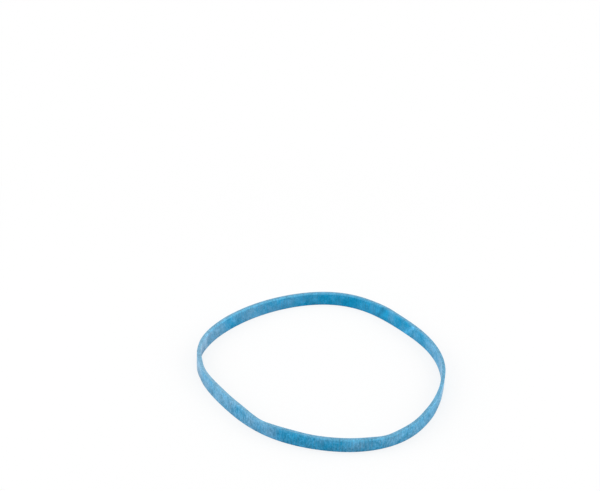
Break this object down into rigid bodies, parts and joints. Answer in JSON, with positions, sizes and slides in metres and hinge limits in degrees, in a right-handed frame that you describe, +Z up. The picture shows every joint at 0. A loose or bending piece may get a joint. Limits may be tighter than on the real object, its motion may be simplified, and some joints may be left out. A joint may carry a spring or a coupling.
{
  "type": "rubber band",
  "caption": "Blue rubber band: one flat strip of soft rubber in a closed, slightly uneven loop, lying on its cut edge. It holds things together by stretching round them.",
  "frame": {"origin": "on the surface that the band lies on, below the middle of the loop's bounding box", "axes": "+Z up across the strip's width, +Y along the loop's longer way, +X along its shorter way"},
  "size_m": [0.0568, 0.06, 0.0032],
  "materials": {
    "blue_rubber": "matte"
  },
  "bodies": {
    "root": {"rubber_band": "blue_rubber"}
  },
  "joints": []
}
